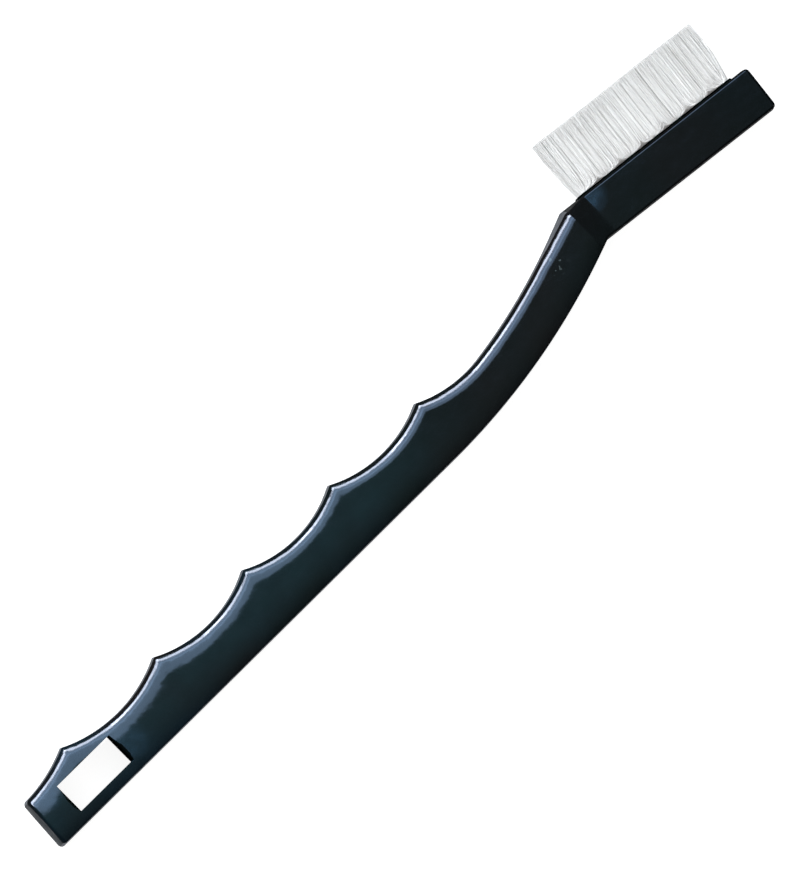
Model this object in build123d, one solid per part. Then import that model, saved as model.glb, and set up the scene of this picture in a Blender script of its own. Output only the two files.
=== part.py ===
from build123d import *
import math
import os

# Crevice brush: a one-piece moulded handle with finger scallops and a slim, slightly
# raked head, set with tufts of nylon filament that flat metal anchors hold in blind holes.
# Millimetres. While it is drawn, X runs along the grip from the butt to the head, Y points
# from the straight back to the bristles and Z is the thickness, with zero at mid-thickness.

# Grip
grip_length = 99.4
butt_height = 10.4
butt_lean_degrees = 3.3
peak_height = 12.85
scallop_depth = 2.65
handle_thickness = 11.1
draft_degrees = 2.0
face_edge_radius = 2.0
peak_place_shares = (0.117, 0.348, 0.571, 0.787, 1.0)
peak_height_shares = (1.0, 0.992, 0.984, 0.977, 0.942)
scallop_depth_shares = (1.0, 1.02, 1.0, 0.93)

# Hang hole, a slot through the butt
hang_hole_length = 12.9
hang_hole_height = 6.1
hang_hole_from_butt = 6.1
hang_hole_from_back = 2.3
hang_hole_draft_degrees = 2.5

# Neck
dip_radius = 23.7
dip_fall_degrees = 26.1
dip_rise_degrees = 8.0
sweep_radius = 109.5
sweep_rise_degrees = 21.35
neck_straight = 4.3
back_turn_degrees = 21.0
shoulder_length = 4.0
shoulder_from_corner = 0.65

# Head
head_rake_degrees = 6.5
head_length = 37.3
head_depth = 8.9
head_thickness = 9.8
head_corner_radius = 0.75
back_corner_radius = 0.8
head_edge_radius = 0.5

# Tuft holes
hole_diameter = 2.4
hole_depth = 5.5
column_pitch = 5.23
row_pitch = 2.75
first_column_from_shoulder = 0.9
tufts_in_row = (7, 6, 7)
rim_height = 0.25
rim_wall = 0.35

# Tufts
trim_length = 12.4
tip_block_length = 35.2
tip_block_width = 8.7
strand_thickness = 0.32
strand_pitch = 0.4
strands_across = (3, 5, 5, 5, 3)
strand_bite = 0.4
tuft_clearance = 0.05

# Anchors
anchor_length = 3.0
anchor_height = 1.5
anchor_thickness = 0.35
anchor_from_hole_floor = 0.8
anchor_clearance = 0.03

# Shared by every cut and trim
overrun = 1.0

half_handle = handle_thickness / 2
half_head = head_thickness / 2


def heading(degrees):
    """Unit vector in the drawing plane at an angle from the grip's length."""
    angle = math.radians(degrees)
    return Vector(math.cos(angle), math.sin(angle))


def draft_both_ways(outline, half_thickness):
    """Solid of a mid-plane outline, narrowing by the mould's draft towards both faces."""
    one_half = extrude(outline, half_thickness, taper=draft_degrees)
    return one_half + mirror(one_half, about=Plane.XY)


# Outline of the grip and neck
peaks = [
    Vector(place * grip_length, height * peak_height)
    for place, height in zip(peak_place_shares, peak_height_shares)
]
head_along = heading(-head_rake_degrees)
head_up = heading(90 - head_rake_degrees)

butt_top = Vector(0, butt_height)
butt_bottom = Vector(-butt_height * math.tan(math.radians(butt_lean_degrees)), 0)
finger_side = [TangentArc(butt_top, peaks[0], tangent=(1, 0))]
for left, right, depth in zip(peaks, peaks[1:], scallop_depth_shares):
    valley = (left + right) / 2 - Vector(0, depth * scallop_depth)
    finger_side.append(ThreePointArc(left, valley, right))

dip = JernArc(peaks[-1], heading(-dip_fall_degrees), dip_radius, dip_fall_degrees + dip_rise_degrees)
sweep_rise = JernArc(dip @ 1, dip % 1, sweep_radius, sweep_rise_degrees - dip_rise_degrees)
neck_corner = sweep_rise @ 1 + (sweep_rise % 1) * neck_straight
finger_side += [dip, sweep_rise, Line(sweep_rise @ 1, neck_corner)]

# The shoulder's two creases stand square to the grip. The head starts at the second.
shoulder_start = neck_corner.X + shoulder_from_corner
shoulder_end = shoulder_start + shoulder_length
head_start_along = (shoulder_end - neck_corner.X) / head_along.X
head_start = neck_corner + head_along * head_start_along
head_back = neck_corner - head_up * head_depth
shoulder_middle = (shoulder_start + shoulder_end) / 2
back_corner = head_back + head_along * ((shoulder_middle - head_back.X) / head_along.X)

# The back's sweep leaves the straight back tangentially and ends at the corner under the head.
back_turn = math.radians(back_turn_degrees)
back_radius = back_corner.Y / (1 - math.cos(back_turn))
back_straight_end = Vector(back_corner.X - back_radius * math.sin(back_turn), 0)
back_sweep = JernArc(back_straight_end, (1, 0), back_radius, back_turn_degrees)

tip_top = head_start + head_along * head_length
tip_back = tip_top - head_up * head_depth
sharp_outline = make_face(
    [Line(butt_bottom, butt_top)]
    + finger_side
    + [
        Line(neck_corner, tip_top),
        Line(tip_top, tip_back),
        Line(tip_back, back_corner),
        back_sweep,
        Line(back_straight_end, butt_bottom),
    ]
)
tip_corners = sharp_outline.vertices().sort_by(Axis((0, 0, 0), head_along))[-2:]
soft_tip = fillet(tip_corners, head_corner_radius)
inner_corner = soft_tip.vertices().sort_by_distance(back_corner)[0]
outline = fillet(inner_corner, back_corner_radius)


def past_crease(x):
    """Everything towards the tip from a plane that stands square to the grip."""
    reach = 2 * head_length
    return Pos(x, 0, 0) * Box(
        reach, 4 * peak_height, 2 * handle_thickness, align=(Align.MIN, Align.CENTER, Align.CENTER)
    )


def edges_at_height(solid, height, start, end):
    """Edges of the two faces at this height over mid-thickness, between two places along X."""
    return [
        edge
        for edge in solid.edges()
        if math.isclose(abs(edge.center().Z), height, abs_tol=overrun / 10)
        and start < edge.center().X < end
    ]


def make_grip(blank):
    """Grip and neck as far as the shoulder, with their face edges well rounded."""
    grip = blank - past_crease(shoulder_start)
    long_edges = edges_at_height(grip, half_handle, butt_bottom.X + overrun, shoulder_start - overrun / 2)
    return fillet(long_edges, min(face_edge_radius, half_handle / 2))


def make_head(blank):
    """Slim block that carries the tufts, with a shoulder on each face where the neck ends."""
    head = blank & past_crease(shoulder_start)
    above_face = half_handle + overrun
    past_tip = tip_top.X + overrun
    shoulder_profile = Plane.XZ * Polyline(
        (shoulder_start, half_handle),
        (shoulder_end, half_head),
        (past_tip, half_head),
        (past_tip, above_face),
        (shoulder_start, above_face),
        close=True,
    )
    shoulder = extrude(make_face(shoulder_profile), 2 * peak_height, both=True)
    head = head - shoulder - mirror(shoulder, about=Plane.XY)
    corner_at_face = head_corner_radius - half_head * math.tan(math.radians(draft_degrees))
    face_edges = edges_at_height(head, half_head, shoulder_end + overrun / 10, past_tip)
    return fillet(face_edges, min(head_edge_radius, 0.9 * corner_at_face))


def make_hang_hole():
    """Core of the slot through the butt, drawn a little wider towards the lower face."""
    middle = Pos(
        hang_hole_from_butt + hang_hole_length / 2,
        hang_hole_from_back + hang_hole_height / 2,
        half_handle,
    )
    spread = 2 * handle_thickness * math.tan(math.radians(hang_hole_draft_degrees))
    mouth = Rectangle(hang_hole_length, hang_hole_height)
    far_mouth = Pos(0, 0, -handle_thickness) * Rectangle(hang_hole_length + spread, hang_hole_height + spread)
    core = loft([mouth, far_mouth])
    ends = extrude(mouth, overrun) + extrude(far_mouth, -overrun)
    return middle * (core + ends)


def tuft_places():
    """Each tuft's name, the middle of its hole and the middle and size of its share of the tips."""
    field_length = (max(tufts_in_row) - 1) * column_pitch
    field_middle = first_column_from_shoulder + field_length / 2
    tip_depth = tip_block_width / len(tufts_in_row)
    places = []
    for row, count in enumerate(tufts_in_row):
        across = row - (len(tufts_in_row) - 1) / 2
        tip_share = tip_block_length / count
        for column in range(count):
            along = column - (count - 1) / 2
            name = f"row{row + 1}_{column + 1}"
            hole = Vector(field_middle + along * column_pitch, across * row_pitch)
            tip = Vector(field_middle + along * tip_share, across * tip_depth)
            places.append((name, hole, tip, tip_share, tip_depth))
    return places


# On the head's bristle face X runs along the head, Y across it and Z out with the bristles.
bristle_face = Plane(origin=head_start, x_dir=head_along, z_dir=head_up)
anchor_floor = -hole_depth + anchor_from_hole_floor


def make_tuft_hole(hole):
    """Cut for one blind hole and the slits that the anchor's ends leave in its wall."""
    top = rim_height + overrun
    bore = Pos(hole.X, hole.Y, -hole_depth) * Cylinder(
        hole_diameter / 2, hole_depth + top, align=(Align.CENTER, Align.CENTER, Align.MIN)
    )
    slits = Pos(hole.X, hole.Y, anchor_floor - anchor_clearance) * Box(
        anchor_length + 2 * anchor_clearance,
        anchor_thickness + 2 * anchor_clearance,
        top - anchor_floor + anchor_clearance,
        align=(Align.CENTER, Align.CENTER, Align.MIN),
    )
    return bore + slits


def make_rim(hole):
    """Low ring of plastic pushed up round one hole, leaning in towards its mouth."""
    return Pos(hole.X, hole.Y, -rim_height) * Cone(
        hole_diameter / 2 + 2 * rim_wall,
        hole_diameter / 2 + rim_wall,
        2 * rim_height,
        align=(Align.CENTER, Align.CENTER, Align.MIN),
    )


def make_handle(places):
    """The whole moulding: grip, neck, head, rims, tuft holes and hang hole."""
    rims = [make_rim(hole) for _, hole, _, _, _ in places]
    holes = [make_tuft_hole(hole) for _, hole, _, _, _ in places]
    blank = draft_both_ways(outline, half_handle)
    body = make_grip(blank) + make_head(blank)
    body = body + [bristle_face.location * rim for rim in rims]
    return body - [bristle_face.location * hole for hole in holes] - make_hang_hole()


def make_anchor(hole):
    """Flat metal strip across one hole, its ends bitten into the slits."""
    return Pos(hole.X, hole.Y, anchor_floor) * Box(
        anchor_length, anchor_thickness, anchor_height, align=(Align.CENTER, Align.CENTER, Align.MIN)
    )


def make_tuft(hole, tip, tip_length, tip_depth):
    """Filaments folded round the anchor, packed tight in the hole and fanned to the tips."""
    root = Pos(hole.X, hole.Y, -hole_depth + tuft_clearance) * Cylinder(
        hole_diameter / 2 - tuft_clearance,
        hole_depth - tuft_clearance + rim_height,
        align=(Align.CENTER, Align.CENTER, Align.MIN),
    )
    window = Pos(hole.X, hole.Y, anchor_floor - anchor_clearance) * Box(
        anchor_length,
        anchor_thickness + 2 * anchor_clearance,
        anchor_height + 2 * anchor_clearance,
        align=(Align.CENTER, Align.CENTER, Align.MIN),
    )
    strands = []
    lanes = len(strands_across)
    foot_level = rim_height - strand_bite
    for lane, count in enumerate(strands_across):
        lane_step = lane - (lanes - 1) / 2
        for place in range(count):
            step = place - (count - 1) / 2
            foot = Vector(hole.X + step * strand_pitch, hole.Y + lane_step * strand_pitch, foot_level)
            end = Vector(tip.X + step * tip_length / count, tip.Y + lane_step * tip_depth / lanes, trim_length)
            section = Pos(foot) * Rectangle(strand_thickness, strand_thickness)
            strands.append(Solid.extrude(section.face(), end - foot))
    return (root - window).fuse(*strands)


places = tuft_places()
pieces = {"handle": make_handle(places)}
for name, hole, tip, tip_length, tip_depth in places:
    pieces[f"tuft_{name}"] = bristle_face.location * make_tuft(hole, tip, tip_length, tip_depth)
    pieces[f"anchor_{name}"] = bristle_face.location * make_anchor(hole)

# The brush lies on its side, with the origin at the middle of its underside.
bounds = Compound(list(pieces.values())).bounding_box()
to_origin = Pos(-bounds.center().X, -bounds.center().Y, -bounds.min.Z)

os.makedirs("parts", exist_ok=True)
for name, piece in pieces.items():
    export_step(to_origin * piece, f"parts/{name}.step")
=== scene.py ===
"""Crevice brush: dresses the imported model, with its handle, filament tufts and metal anchors."""

import math
import random
from typing import NamedTuple

import bmesh
import bpy
from bpy.props import FloatProperty, FloatVectorProperty, IntProperty, PointerProperty
from mathutils import Matrix, Vector, noise


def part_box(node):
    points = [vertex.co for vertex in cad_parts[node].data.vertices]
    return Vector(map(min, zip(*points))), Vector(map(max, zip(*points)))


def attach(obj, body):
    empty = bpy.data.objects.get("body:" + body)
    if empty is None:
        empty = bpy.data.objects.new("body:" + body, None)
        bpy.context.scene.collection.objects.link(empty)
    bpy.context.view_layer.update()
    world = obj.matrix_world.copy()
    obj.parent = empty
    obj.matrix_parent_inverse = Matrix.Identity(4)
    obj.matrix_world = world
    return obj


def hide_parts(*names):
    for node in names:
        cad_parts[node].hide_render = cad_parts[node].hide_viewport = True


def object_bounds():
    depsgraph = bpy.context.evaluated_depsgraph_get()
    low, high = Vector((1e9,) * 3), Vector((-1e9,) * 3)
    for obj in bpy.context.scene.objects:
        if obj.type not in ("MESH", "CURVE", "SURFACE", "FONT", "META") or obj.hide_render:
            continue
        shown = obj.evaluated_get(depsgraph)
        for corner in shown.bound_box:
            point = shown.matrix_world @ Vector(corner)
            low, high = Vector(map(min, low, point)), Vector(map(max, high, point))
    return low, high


bl_info = {
    "name": "Crevice Brush",
    "version": (1, 0, 0),
    "blender": (4, 5, 0),
    "location": "3D View > Sidebar > Crevice Brush",
    "description": "Finishes a moulded crevice brush with filament tufts, metal anchors and a studio",
    "category": "Object",
}

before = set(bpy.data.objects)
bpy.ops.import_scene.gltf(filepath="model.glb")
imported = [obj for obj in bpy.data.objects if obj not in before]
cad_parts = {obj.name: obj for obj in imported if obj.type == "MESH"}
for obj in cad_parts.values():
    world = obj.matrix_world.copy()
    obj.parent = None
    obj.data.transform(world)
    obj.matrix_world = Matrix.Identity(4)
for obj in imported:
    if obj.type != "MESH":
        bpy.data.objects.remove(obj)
cad_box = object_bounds()

MM = 0.001

# Rows of tufts from the near face to the far one, with their counts
ROWS = (("row1", 7), ("row2", 6), ("row3", 7))
HOLE_NAMES = [f"{row}_{column + 1}" for row, count in ROWS for column in range(count)]

# Shares of the grip's length, of the first peak's height and of a scallop's depth
PEAK_PLACE_SHARES = (0.117, 0.348, 0.571, 0.787, 1.0)
PEAK_HEIGHT_SHARES = (1.0, 0.992, 0.984, 0.977, 0.942)
SCALLOP_DEPTH_SHARES = (1.0, 1.02, 1.0, 0.93)
# Share of a peak's rise over the butt by which the gentle round grows there
SHELF_GAIN_SHARE = 0.2
# Height of the parting line's lip, as a share of the line's depth
LIP_SHARE = 1.5

# Facets round and across the moulding, and the spacing of its cross-sections
EDGE_STEPS = 8
CROWN_STEPS = 8
SHELF_STEPS = 6
PROFILE_STEPS = EDGE_STEPS + CROWN_STEPS + SHELF_STEPS
FACE_STEPS = 4
BUTT_STEPS = 9
TIP_STEPS = 6
MOUTH_STEPS = 8
PLUG_SIDES = 32
GRIP_SPACING = 0.45 * MM
SHOULDER_SPACING = 0.5 * MM
HEAD_SPACING = 0.8 * MM

# Small places and angles of the moulding, and the step over which a slope is measured
SLOPE_STEP = 0.05 * MM
BUTT_LEAN_REACH = 5 * MM
END_DRAFT_REACH = 3 * MM
CREASE_GAP = 0.02 * MM
CREASE_ROUND = 0.12 * MM
CUT_OVERRUN = 0.5 * MM
MOUTH_OVERRUN = 0.1 * MM
RIM_BITE = 0.25 * MM
WALL_SLOPE = math.radians(80)
END_FACING = 0.9
MOUTH_SLOPES = (math.radians(5), math.radians(85))
SHARP_ANGLE = math.radians(28)

# Packing of a tuft's filaments, with its spacings as shares of a filament's diameter
ALONG_PITCH_SHARE = 1.03
ACROSS_PITCH_SHARE = 0.88
HOLE_CLEARANCE = 0.02 * MM
ANCHOR_CLEARANCE = 0.01 * MM
FOLD_STEP = 0.14 * MM
FOLD_RISE = 0.35 * MM
ROOT_DEPTH = 0.6 * MM

# Spread of the filaments over the trimmed face, and their small disorder
CROWDING = 0.8
LEAST_FLARE = 1.1
FLARE_RANGE = (0.5, 1.5)
BULGE_START_SHARE = 0.8
SWAY = 0.25 * MM
SWAY_WAVES = (2.2 * MM, 2.5 * MM)
SWAY_LAYER = 0.5
LEVEL_WAVE_SHARE = 0.3
LEVEL_SCATTER = 0.04 * MM
BEND = 0.1 * MM
TONE_RANGE = 0.06
# Painted shade at the filament tips grows with this power of the height
PAINTED_TIP_SHADE_POWER = 4
HEIGHT_SHARES = (0.012, 0.03, 0.06, 0.12, 0.25, 0.45, 0.72, 0.9, 0.98, 1.0)

# Grain of the finishes, each as waves per metre and detail
BELLY_SHEEN_CLOUDS = (160, 2)
SINK_WAVES = (330, 2)
WEAR_GRAIN = (420, 3)
GLINT_CLOUDS = (450, 2)
CORE_GRAIN = (900, 3)
NICK_GRAIN = (1500, 0)
SKIN_GRAIN = (2600, 3)
STRIP_LINES = (9000, 2)
STRIP_STRETCH = (0.05, 1, 1)
PATCH_DETAIL = 1.5
WARM_DETAIL = 1
WARM_SCALE_SHARE = 0.6

# Parts of a noise's range over which a finish changes, and least and most values there
PATCH_RANGE = (0.35, 0.65)
WARM_RANGE = (0.48, 0.7)
BELLY_SHEEN_RANGE = (0.3, 0.7)
GLINT_RANGE = (0.35, 0.7)
NICK_RANGE = (0.72, 0.78)
GRAIN_RANGE = (0.3, 0.7)
LEAST_COOL_SHEEN = 0.15
LEAST_BELLY_SHEEN = 0.65
LEAST_GLINT = 0.4
BELLY_SHEEN_STRENGTH = 0.9
HEAD_SHADE_STRENGTH = 0.7
HEAD_SHADE_START_SHARE = 0.5
WEAR_SHARE = 0.12
SKIN_STRENGTH = 0.2
CORE_ROUGHNESS = (0.8, 0.95)
METAL_ROUGHNESS = (0.28, 0.45)

# Darker tones, as shares of their own colours
CORE_DARK_SHARE = 0.5
# The dim nylon is the dark end of the filaments' random tone and of their painted shade near the cuts
DIM_NYLON_SHARE = 0.45
DULL_METAL_SHARE = 0.6

# Where the painted sheen away from the back lies across and along the grip, and the nicks from the neck's
# sweep
BELLY_SHEEN_HEIGHTS = (1 * MM, 5.5 * MM)
BELLY_SHEEN_PLACES = (-8 * MM, 12 * MM)
GLINT_EDGE = 0.1 * MM
NICKS_FROM_SWEEP = (3.7 * MM, 3.8 * MM)
NICKS_CORE = 1.2 * MM
NICKS_REACH = 3.2 * MM

# The room's brighter part, by height and by length, and how much of it is left towards the head
CEILING_RANGE = (0.82, 0.97)
CEILING_FALL = (0.15, 0.4)
LEAST_CEILING = 0.55

# Floor, and the point that the camera looks at
FLOOR_SIDES = 96
FLOOR_DROP = 0.02 * MM
VIEW_TARGET = (1.67 * MM, -5.16 * MM, 11.1 * MM)
NEAREST_SEEN = 0.1


class GlintShape(NamedTuple):
    """Place of a bluish painted highlight, as shares of the form that carries it, with how it fades and its
    strength.
    """

    along_share: float
    across_share: float
    core: float
    reach: float
    strength: float


# Painted highlights: bluish reflections laid into the near face's colour
BUTT_GLINT = GlintShape(0.28, 0.76, 0.4 * MM, 2.6 * MM, 0.25)
SLOT_GLINT = GlintShape(1.14, 0.5, 0.5 * MM, 4 * MM, 0.3)
HEAD_GLINT = GlintShape(0.02, 0.1, 0.2 * MM, 3.6 * MM, 0.6)


class Softbox(NamedTuple):
    """Rectangular soft light that faces the brush, with its angles in degrees and its share of a power."""

    name: str
    bearing: float
    elevation: float
    distance: float
    size: tuple
    power: str
    share: float
    tint: tuple
    mirrored: bool = True


WHITE = (1, 1, 1)
SKY = (0.62, 0.82, 1)
WARM_WHITE = (1, 0.98, 0.95)
SOFTBOXES = (
    Softbox("key_light", 5.6, 31, 1.2, (0.4, 0.3), "key_power", 0.46, WHITE),
    Softbox("butt_light", 36.6, 31, 0.5, (0.2, 0.18), "key_power", 0.145, WHITE),
    Softbox("side_light", -20, 31, 1.2, (0.8, 0.3), "side_power", 1, WHITE),
    Softbox("panel_light", 0, 50, 1.2, (1.0, 0.4), "panel_power", 1, SKY),
    Softbox("roof_light", -10, 66.5, 1.2, (0.8, 0.5), "panel_power", 0.66, SKY),
    Softbox("fill_light", 0, 90, 1.2, (1.4, 1.4), "fill_power", 1, WARM_WHITE, mirrored=False),
)


def middle_of(node):
    """Centre of a CAD node's box."""
    low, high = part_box(node)
    return (low + high) / 2


# The anchors lie in one plane under the bristle face, so they give the head's own axes.
HEAD_ALONG = (middle_of("anchor_row1_7") - middle_of("anchor_row1_1")).normalized()
HEAD_ACROSS = Vector((0, 0, -1))
HEAD_UP = HEAD_ALONG.cross(HEAD_ACROSS)


def length(name, description, millimetres):
    """Property for a length, with its default given in millimetres."""
    return FloatProperty(
        name=name, description=description, unit="LENGTH", precision=5, default=millimetres * MM
    )


def angle(name, description, degrees):
    """Property for an angle, with its default given in degrees."""
    return FloatProperty(name=name, description=description, subtype="ANGLE", default=math.radians(degrees))


def factor(name, description, share):
    """Property for a share between nothing and one."""
    return FloatProperty(name=name, description=description, subtype="FACTOR", min=0, max=1, default=share)


def power(name, description, watts):
    """Property for a lamp's power."""
    return FloatProperty(name=name, description=description, unit="POWER", default=watts)


def colour(name, description, default):
    """Property for a colour."""
    return FloatVectorProperty(
        name=name, description=description, subtype="COLOR", size=3, min=0, max=1, default=default
    )


class HandleSizes(bpy.types.PropertyGroup):
    """Driving sizes of the moulding, as the model has them."""

    grip_length: length("Grip length", "From the butt to the last finger peak", 99.4)
    butt_height: length("Butt height", "Height of the butt's end at its top corner", 10.4)
    butt_lean: angle("Butt lean", "Lean of the butt's end", 3.3)
    peak_height: length("Peak height", "Height of the first finger peak over the back", 12.85)
    scallop_depth: length("Scallop depth", "Depth of a finger scallop under its two peaks", 2.65)
    draft: angle("Draft", "Slope of the walls towards both faces", 2.0)
    edge_radius: length("Edge radius", "Tight round where a wall meets the crown", 0.3)
    crown_width: length("Crown width", "Breadth of the round that falls to the finger side's edge", 1.55)
    crown_slope: angle("Crown slope", "Slope of the crown at its outer edge", 46.0)
    shelf_width: length("Shelf width", "Breadth of the gentle round inside the crown, at the butt", 3.5)
    shelf_slope: angle("Shelf slope", "Slope of that round where the crown begins", 15.0)
    shelf_length: length("Shelf length", "From the butt to where that round would end in nothing", 105.0)
    least_shelf: length("Least shelf", "Least breadth of that round", 0.7)
    back_width: length("Back width", "Breadth of the gentle fall towards the back", 3.2)
    back_slope: angle("Back slope", "Slope of that fall at the back's edge", 14.0)
    neck_lean: length("Neck lean", "How far the wall leans in under the head's corner", 0.75)
    neck_lean_length: length("Neck lean length", "Length of neck over which the wall leans more", 9.0)
    butt_draft: angle("Butt draft", "Slope of the butt's end towards both faces", 4.0)
    polish_slope: angle("Polish slope", "Slope at which the polish of the grip's crown ends", 36.0)
    head_polish_slope: angle("Head polish slope", "Slope at which the head's polish ends", 22.0)
    shoulder_polish_slope: angle("Shoulder polish slope", "Slope at which its polish ends", 12.0)
    groove: length("Parting line", "Depth of the fine line where the mould's halves meet", 0.04)
    butt_round: length("Butt round", "Round where the butt's end meets the faces", 0.65)
    butt_corner: length("Butt corner", "Round of the butt's corners, seen from the side", 0.7)
    dip_radius: length("Dip radius", "Round of the dip behind the last peak", 23.7)
    dip_fall: angle("Dip fall", "Slope at which the dip leaves the last peak", 26.1)
    dip_rise: angle("Dip rise", "Slope at which the dip meets the neck", 8.0)
    sweep_radius: length("Sweep radius", "Round of the neck's upper side", 109.5)
    sweep_rise: angle("Sweep rise", "Slope of the neck where it runs straight", 21.35)
    neck_straight: length("Neck straight", "Straight stretch under the head's corner", 4.3)
    back_turn: angle("Back turn", "Turn of the back from the grip to the head", 21.0)
    shoulder_length: length("Shoulder length", "Distance between the shoulder's two creases", 4.0)
    shoulder_from_corner: length("Shoulder place", "From the neck's corner to the first crease", 0.65)
    head_rake: angle("Head rake", "Fall of the head from the grip's line", 6.5)
    head_length: length("Head length", "From the second crease to the tip", 37.3)
    head_depth: length("Head depth", "From the bristle face to the back of the head", 8.9)
    head_thickness: length("Head thickness", "Thickness of the head, less than the grip's", 9.8)
    head_edge: length("Head edge", "Round of the head's long edges", 0.45)
    tip_round: length("Tip round", "Round where the tip meets the faces", 0.5)
    head_corner: length("Head corner", "Round of the tip's corners, seen from the side", 0.75)
    hang_length: length("Hang hole length", "Length of the slot's mouth", 12.9)
    hang_height: length("Hang hole height", "Height of the slot's mouth", 6.1)
    hang_from_butt: length("Hang hole from butt", "From the butt's top corner to the slot", 6.1)
    hang_from_back: length("Hang hole from back", "Wall between the slot and the back", 2.3)
    hang_draft: angle("Hang hole draft", "Spread of the slot towards the lower face", 2.5)
    hang_round: length("Hang hole round", "Small round of the slot's mouth", 0.4)
    rim_height: length("Rim height", "Height of the ring pushed up round a tuft", 0.25)
    rim_wall: length("Rim wall", "Thickness of that ring at its mouth", 0.32)


class HandleFinish(bpy.types.PropertyGroup):
    """Gloss and colour of the moulded plastic, with its painted sheen and painted highlights."""

    body: colour("Body colour", "Near-black of the plastic", (0.0019, 0.0034, 0.0032))
    # Painted sheen: bluish cloudy patches, strongest towards the butt, that stand in for the room's soft
    # reflection
    cool_sheen_patch: colour("Cool patches", "Bluish tint towards the butt", (0.0027, 0.0092, 0.0155))
    warm_patch: colour("Warm patches", "Brownish tint of the slowest cooling", (0.0036, 0.0034, 0.0034))
    # Painted sheen: a lighter cool tone on the face away from the back, standing in for the soft reflection
    # there
    belly_sheen: colour("Belly", "Cool tint of the grip away from its back", (0.0045, 0.0135, 0.0165))
    head_shade: colour("Head shade", "Deep black towards the tip", (0.0005, 0.0007, 0.001))
    # Painted highlights: bluish reflections laid into the colour at the butt, past the slot and at the
    # second crease
    painted_glint: colour("Glints", "Blue where the skin is smoothest, by the slot", (0.03, 0.075, 0.13))
    nick: colour("Nicks", "Pale grey of the small nicks on the neck", (0.045, 0.06, 0.062))
    sheen: colour("Gloss tint", "Cool tint of the reflections", (0.72, 0.8, 1.0))
    patch_size: length("Patch size", "Breadth of one cloudy patch", 14)
    sink_depth: length("Sink depth", "Depth of the soft sinks in the faces", 0.09)
    skin_depth: length("Skin depth", "Depth of the fine skin on the plastic", 0.02)
    roughness: factor("Roughness", "Roughness of the polished faces", 0.16)
    wall_roughness: factor("Wall roughness", "Roughness of the drawn walls", 0.68)
    gloss: factor("Gloss level", "Strength of the polished faces' reflections", 1.0)
    wall_gloss: factor("Wall gloss", "Strength of the walls' reflections", 0.8)
    end_gloss: factor("End gloss", "Strength of the butt end's reflections", 0.14)
    edge_gloss: factor("Edge gloss", "Strength of the reflections of the dull outer edges", 0.03)


class TuftSizes(bpy.types.PropertyGroup):
    """Sizes and colour of the nylon filament."""

    filament: length("Filament diameter", "Thickness of one filament", 0.13)
    trim: length("Trim", "Length of filament that stands over the head", 12.4)
    hole_depth: length("Hole depth", "Depth of each blind hole", 5.5)
    hole_diameter: length("Hole diameter", "Width of each blind hole", 2.4)
    row_pitch: length("Row pitch", "Distance between two rows of holes", 2.75)
    tip_length: length("Tip length", "Length of the trimmed face along the head", 35.0)
    tip_width: length("Tip width", "Width of the trimmed face across the head", 8.7)
    anchor_height: length("Anchor height", "Height of the metal strip in the hole", 1.5)
    anchor_lift: length("Anchor lift", "From the floor of the hole to the strip", 0.8)
    scatter: length("Scatter", "How far a filament strays from its place", 0.22)
    middle_reach: FloatProperty(
        name="Middle reach", description="How far the middle tufts push out between the others",
        min=1, max=3, default=2.2,
    )
    end_bulge: length("End bulge", "Bow of the outermost filaments at the tip end", 0.55)
    flare: FloatProperty(
        name="Flare", description="How soon the filaments spread over the hole", min=1, max=60, default=45
    )
    tip_wave: length("Tip wave", "How far the trimmed face waves up and down along the head", 0.12)
    sides: IntProperty(
        name="Sides", description="Sides of one filament's section", min=3, max=12, default=4
    )
    seed: IntProperty(name="Seed", description="Seed of the filaments' small differences", default=11)
    nylon: colour("Nylon colour", "Colour of the natural nylon", (0.8, 0.792, 0.786))
    # Painted shade: darker nylon near the cuts and on the cut ends, standing in for less light where the
    # low lights make them too bright
    painted_tip_shade: factor("Tip dulling", "How much duller the filaments are near their cut", 0.35)
    cut_shade: factor("Cut shade", "Shade of the cut itself, which catches the low lights", 0.1)
    # Painted glow: an emission that stands in for light passed on between filaments
    glow: factor("Glow", "Light that the nylon passes on from filament to filament", 0.1)


class AnchorFinish(bpy.types.PropertyGroup):
    """Colour of the flat metal anchors."""

    metal: colour("Metal colour", "Brass of the anchor strip", (0.78, 0.63, 0.33))


class StudioSizes(bpy.types.PropertyGroup):
    """View, light and room."""

    view_height: length("View height", "Height of the frame at the near face", 154.4)
    view_distance: length("View distance", "Distance of the camera", 6000)
    tilt: angle("Tilt", "Lean of the view towards the butt", 6)
    turn: angle("Turn", "Angle of the grip over the picture's foot", 44.68)
    key_power: power("Key power", "Power of the low strip", 10)
    side_power: power("Side power", "Power of the strip beside it", 8.5)
    panel_power: power("Panel power", "Power of the high panels", 3.4)
    fill_power: power("Fill power", "Power of the fill overhead", 10)
    floor_radius: length("Floor radius", "Radius of the pale floor", 4000)
    floor_paint: colour("Floor paint", "Tone of the floor where light falls on it", (0.4, 0.4, 0.4))
    floor_glow: factor("Floor glow", "White that the floor adds to the eye and in reflections", 0.88)
    room: colour("Room", "Dim tone of the room", (0.012, 0.013, 0.014))
    ceiling: colour("Ceiling", "Paler tone of the room overhead", (0.078, 0.104, 0.088))


def settings():
    """This add-on's own properties on the scene."""
    return bpy.context.scene.crevice_brush


def empty_tree(owner):
    """Cleared node tree of a material or a world."""
    owner.use_nodes = True
    owner.node_tree.nodes.clear()
    return owner.node_tree


def feed(tree, socket, value):
    """Links a socket to another node's, or sets its number, vector or colour."""
    if isinstance(value, bpy.types.NodeSocket):
        tree.links.new(value, socket)
    elif socket.type == "RGBA":
        socket.default_value = (*value, 1)
    else:
        socket.default_value = value


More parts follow.
